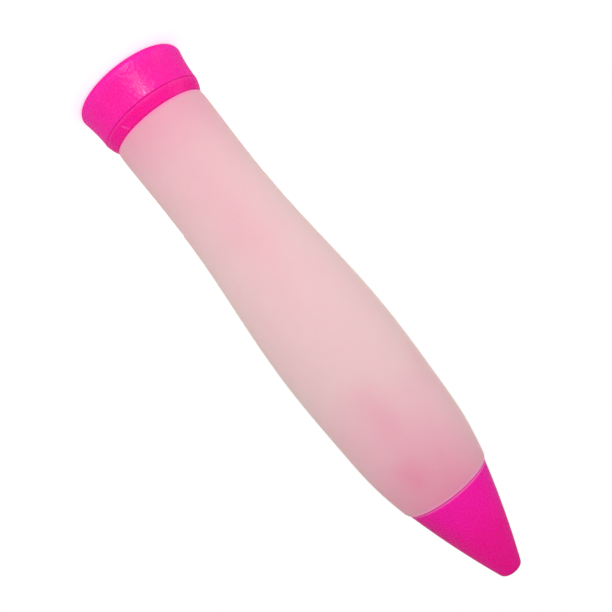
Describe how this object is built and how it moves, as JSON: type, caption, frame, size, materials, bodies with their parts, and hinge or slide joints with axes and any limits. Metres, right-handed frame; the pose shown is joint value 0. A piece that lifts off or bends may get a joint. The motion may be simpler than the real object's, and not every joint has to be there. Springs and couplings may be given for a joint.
{
  "type": "icing pen",
  "caption": "Squeezable silicone icing pen, slim at the back and full in the middle, with a flared screw cap to stand on, a screw-on writing nozzle and a blunt cone-shaped cover.",
  "frame": {"origin": "centre of the end cap's flat face, on which the pen stands", "axes": "+Z along the pen's axis, from the cap towards the tip"},
  "size_m": [0.0326, 0.0326, 0.16],
  "materials": {
    "magenta_plastic": "satin, fine grain",
    "nozzle_plastic": "smooth",
    "tube_silicone": "matte, slightly see-through",
    "seal_silicone": "matte"
  },
  "bodies": {
    "cap": {"end_cap": "magenta_plastic"},
    "rear_seal": {"cap_seal": "seal_silicone"},
    "barrel": {"filler_collar": "magenta_plastic", "squeeze_tube": "tube_silicone", "nozzle_holder": "magenta_plastic"},
    "front_seal": {"nozzle_seal": "seal_silicone"},
    "tip": {"nozzle": "nozzle_plastic"},
    "cover": {"nozzle_cover": "magenta_plastic"}
  },
  "joints": [
    {"name": "barrel_lift", "type": "slide", "parent": "cap", "child": "rear_seal", "axis": [0, 0, 1], "range_m": [0, 0.00457]},
    {"name": "barrel_unscrew", "type": "hinge", "parent": "rear_seal", "child": "barrel", "pos_m": [0, 0, 0.0104], "axis": [0, 0, 1], "range_deg": [0, 684]},
    {"name": "nozzle_lift", "type": "slide", "parent": "barrel", "child": "front_seal", "axis": [0, 0, 1], "range_m": [0, 0.00481]},
    {"name": "nozzle_unscrew", "type": "hinge", "parent": "front_seal", "child": "tip", "pos_m": [0, 0, 0.1346], "axis": [0, 0, 1], "range_deg": [0, 864]},
    {"name": "cover_pull", "type": "slide", "parent": "tip", "child": "cover", "axis": [0, 0, 1], "range_m": [0, 0.028]}
  ],
  "couplings": [
    {"joint": "barrel_lift", "follows": "barrel_unscrew", "m_per_rad": 0.00038197},
    {"joint": "nozzle_lift", "follows": "nozzle_unscrew", "m_per_rad": 0.00031831}
  ]
}
